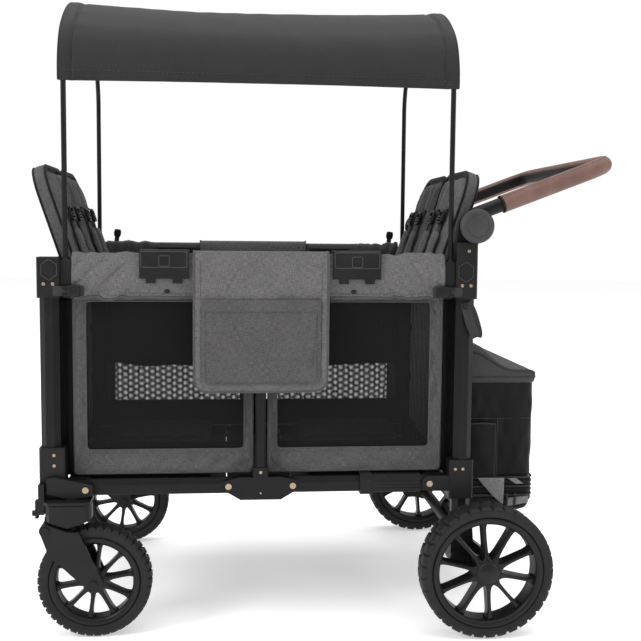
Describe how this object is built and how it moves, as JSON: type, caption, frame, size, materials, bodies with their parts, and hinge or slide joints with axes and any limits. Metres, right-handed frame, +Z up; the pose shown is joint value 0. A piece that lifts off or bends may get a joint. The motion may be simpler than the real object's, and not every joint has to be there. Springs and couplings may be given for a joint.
{
  "type": "folding pull wagon",
  "caption": "Folding fabric-sided wagon for children with padded seats, an arched canopy, swivel casters, large rear wheels, a swinging push handle and a storage bag.",
  "frame": {"origin": "middle of the whole wagon's base, on the ground", "axes": "+Z up, +X from the casters towards the push handle, +Y towards the far side"},
  "size_m": [1.1482, 0.763, 1.2365],
  "materials": {
    "frame_metal": "matte black powder coat on aluminium tube",
    "plate_metal": "matte black pressed steel plate",
    "axle_metal": "black coated steel tube",
    "pole_metal": "satin black thin pole",
    "bracket_plastic": "fine grained black nylon moulding",
    "moulded_plastic": "fine grained black moulding",
    "rim_plastic": "satin black moulded rim",
    "board_plastic": "black board",
    "tyre_rubber": "foam filled rubber with moulded tread",
    "tub_fabric": "grey melange woven polyester",
    "seat_fabric": "grey melange padded fabric",
    "canopy_fabric": "charcoal woven polyester",
    "bag_fabric": "black woven polyester",
    "webbing": "black polyester webbing",
    "grip_leather": "brown grained synthetic leather, stitched",
    "bolt_steel": "zinc plated steel"
  },
  "bodies": {
    "rear_frame": {"rear_posts": "frame_metal", "rear_brackets": "bracket_plastic", "rear_cross_tubes": "frame_metal", "handle_mounts": "moulded_plastic", "rear_axle": "axle_metal", "rear_end_wall": "tub_fabric", "storage_bag": "bag_fabric", "wrist_loop": "webbing", "rear_bolts": "bolt_steel", "rear_side_panels": "tub_fabric"},
    "bag_lid": {"storage_bag_lid": "bag_fabric"},
    "rear_wheel_near": {"rear_tyre_near": "tyre_rubber", "rear_rim_near": "rim_plastic"},
    "rear_wheel_far": {"rear_tyre_far": "tyre_rubber", "rear_rim_far": "rim_plastic"},
    "brake": {"brake_pedal": "moulded_plastic"},
    "rear_rails": {"rear_bottom_rails": "frame_metal", "rear_floor_board": "board_plastic", "rear_seat_pad": "seat_fabric", "rail_covers": "moulded_plastic"},
    "centre_frame": {"centre_plates": "plate_metal", "centre_posts": "frame_metal", "centre_beam": "board_plastic", "centre_top_hinges": "moulded_plastic", "centre_bolts": "bolt_steel", "side_pockets": "tub_fabric"},
    "front_rails": {"front_bottom_rails": "frame_metal", "front_floor_board": "board_plastic", "front_seat_pad": "seat_fabric"},
    "rear_top": {"rear_top_rails": "frame_metal", "rear_rail_clamps": "moulded_plastic"},
    "front_top": {"front_top_rails": "frame_metal", "front_rail_clamps": "moulded_plastic"},
    "front_frame": {"front_posts": "frame_metal", "front_brackets": "bracket_plastic", "front_cross_tubes": "frame_metal", "front_end_wall": "tub_fabric", "front_bolts": "bolt_steel", "front_side_panels": "tub_fabric", "caster_mounts": "bracket_plastic"},
    "rear_canopy_bow": {"rear_bow": "pole_metal", "canopy": "canopy_fabric"},
    "front_canopy_bow": {"front_bow": "pole_metal"},
    "handle": {"handle_bar": "frame_metal", "handle_grip": "grip_leather", "handle_caps": "moulded_plastic"},
    "swivel_near": {"caster_crown_near": "moulded_plastic"},
    "fork_near": {"caster_fork_near": "moulded_plastic"},
    "caster_wheel_near": {"caster_tyre_near": "tyre_rubber", "caster_rim_near": "rim_plastic"},
    "swivel_lock_near": {"caster_lock_near": "moulded_plastic"},
    "back_rear_near": {"seat_back_rear_near": "seat_fabric"},
    "back_front_near": {"seat_back_front_near": "seat_fabric"},
    "swivel_far": {"caster_crown_far": "moulded_plastic"},
    "fork_far": {"caster_fork_far": "moulded_plastic"},
    "caster_wheel_far": {"caster_tyre_far": "tyre_rubber", "caster_rim_far": "rim_plastic"},
    "swivel_lock_far": {"caster_lock_far": "moulded_plastic"},
    "back_rear_far": {"seat_back_rear_far": "seat_fabric"},
    "back_front_far": {"seat_back_front_far": "seat_fabric"}
  },
  "joints": [
    {"name": "fold", "type": "hinge", "parent": "rear_frame", "child": "rear_rails", "pos_m": [0.20821, 0, 0.28], "axis": [0, 1, 0], "range_deg": [0, 82], "deforming": ["rear_side_panels", "front_side_panels", "side_pockets", "canopy"]},
    {"name": "centre_level", "type": "hinge", "parent": "rear_rails", "child": "centre_frame", "pos_m": [-0.06079, 0, 0.28], "axis": [0, 1, 0], "range_deg": [-82, 0]},
    {"name": "front_rail_fold", "type": "hinge", "parent": "centre_frame", "child": "front_rails", "pos_m": [-0.18479, 0, 0.28], "axis": [0, 1, 0], "range_deg": [-82, 0]},
    {"name": "front_frame_level", "type": "hinge", "parent": "front_rails", "child": "front_frame", "pos_m": [-0.45379, 0, 0.28], "axis": [0, 1, 0], "range_deg": [0, 82]},
    {"name": "rear_top_fold", "type": "hinge", "parent": "rear_frame", "child": "rear_top", "pos_m": [0.20821, 0, 0.7], "axis": [0, 1, 0], "range_deg": [0, 82]},
    {"name": "front_top_fold", "type": "hinge", "parent": "front_frame", "child": "front_top", "pos_m": [-0.45379, 0, 0.7], "axis": [0, 1, 0], "range_deg": [-82, 0]},
    {"name": "canopy_pull_out", "type": "slide", "parent": "rear_frame", "child": "rear_canopy_bow", "axis": [0, 0, 1], "range_m": [0, 0.08]},
    {"name": "front_bow_pull_out", "type": "slide", "parent": "front_frame", "child": "front_canopy_bow", "axis": [0, 0, 1], "range_m": [0, 0.08]},
    {"name": "handle_swing", "type": "hinge", "parent": "rear_frame", "child": "handle", "pos_m": [0.28921, 0, 0.784], "axis": [0, -1, 0], "range_deg": [-55, 50]},
    {"name": "bag_lid_hinge", "type": "hinge", "parent": "rear_frame", "child": "bag_lid", "pos_m": [0.28971, 0, 0.542], "axis": [0, -1, 0], "range_deg": [0, 95]},
    {"name": "brake_press", "type": "hinge", "parent": "rear_frame", "child": "brake", "pos_m": [0.32621, 0, 0.15], "axis": [0, 1, 0], "range_deg": [0, 18]},
    {"name": "rear_wheel_spin_near", "type": "hinge", "parent": "rear_frame", "child": "rear_wheel_near", "pos_m": [0.30621, -0.349, 0.128], "axis": [0, 1, 0], "continuous": true},
    {"name": "caster_swivel_near", "type": "hinge", "parent": "front_frame", "child": "swivel_near", "pos_m": [-0.48479, -0.291, 0.2555], "axis": [0, 0, 1], "continuous": true},
    {"name": "caster_spring_near", "type": "hinge", "parent": "swivel_near", "child": "fork_near", "pos_m": [-0.52379, -0.291, 0.211], "axis": [0, -1, 0], "range_deg": [0, 5], "stiffness_Nm_per_rad": 60, "springref_deg": -17.19},
    {"name": "caster_wheel_spin_near", "type": "hinge", "parent": "fork_near", "child": "caster_wheel_near", "pos_m": [-0.43679, -0.291, 0.107], "axis": [0, 1, 0], "continuous": true},
    {"name": "swivel_lock_press_near", "type": "slide", "parent": "front_frame", "child": "swivel_lock_near", "axis": [0, 0, 1], "range_m": [0, 0.008]},
    {"name": "seat_back_tilt_rear_near", "type": "hinge", "parent": "rear_frame", "child": "back_rear_near", "pos_m": [0.22921, -0.1185, 0.668], "axis": [0, -1, 0], "range_deg": [0, 20]},
    {"name": "seat_back_tilt_front_near", "type": "hinge", "parent": "front_frame", "child": "back_front_near", "pos_m": [-0.47479, -0.1185, 0.668], "axis": [0, 1, 0], "range_deg": [0, 20]},
    {"name": "rear_wheel_spin_far", "type": "hinge", "parent": "rear_frame", "child": "rear_wheel_far", "pos_m": [0.30621, 0.349, 0.128], "axis": [0, 1, 0], "continuous": true},
    {"name": "caster_swivel_far", "type": "hinge", "parent": "front_frame", "child": "swivel_far", "pos_m": [-0.48479, 0.291, 0.2555], "axis": [0, 0, 1], "continuous": true},
    {"name": "caster_spring_far", "type": "hinge", "parent": "swivel_far", "child": "fork_far", "pos_m": [-0.52379, 0.291, 0.211], "axis": [0, -1, 0], "range_deg": [0, 5], "stiffness_Nm_per_rad": 60, "springref_deg": -17.19},
    {"name": "caster_wheel_spin_far", "type": "hinge", "parent": "fork_far", "child": "caster_wheel_far", "pos_m": [-0.43679, 0.291, 0.107], "axis": [0, 1, 0], "continuous": true},
    {"name": "swivel_lock_press_far", "type": "slide", "parent": "front_frame", "child": "swivel_lock_far", "axis": [0, 0, 1], "range_m": [0, 0.008]},
    {"name": "seat_back_tilt_rear_far", "type": "hinge", "parent": "rear_frame", "child": "back_rear_far", "pos_m": [0.22921, 0.1185, 0.668], "axis": [0, -1, 0], "range_deg": [0, 20]},
    {"name": "seat_back_tilt_front_far", "type": "hinge", "parent": "front_frame", "child": "back_front_far", "pos_m": [-0.47479, 0.1185, 0.668], "axis": [0, 1, 0], "range_deg": [0, 20]}
  ],
  "couplings": [
    {"joint": "centre_level", "follows": "fold", "ratio": -1},
    {"joint": "front_rail_fold", "follows": "fold", "ratio": -1},
    {"joint": "front_frame_level", "follows": "fold", "ratio": 1},
    {"joint": "rear_top_fold", "follows": "fold", "ratio": 1},
    {"joint": "front_top_fold", "follows": "fold", "ratio": -1},
    {"joint": "front_bow_pull_out", "follows": "canopy_pull_out", "ratio": 1}
  ]
}
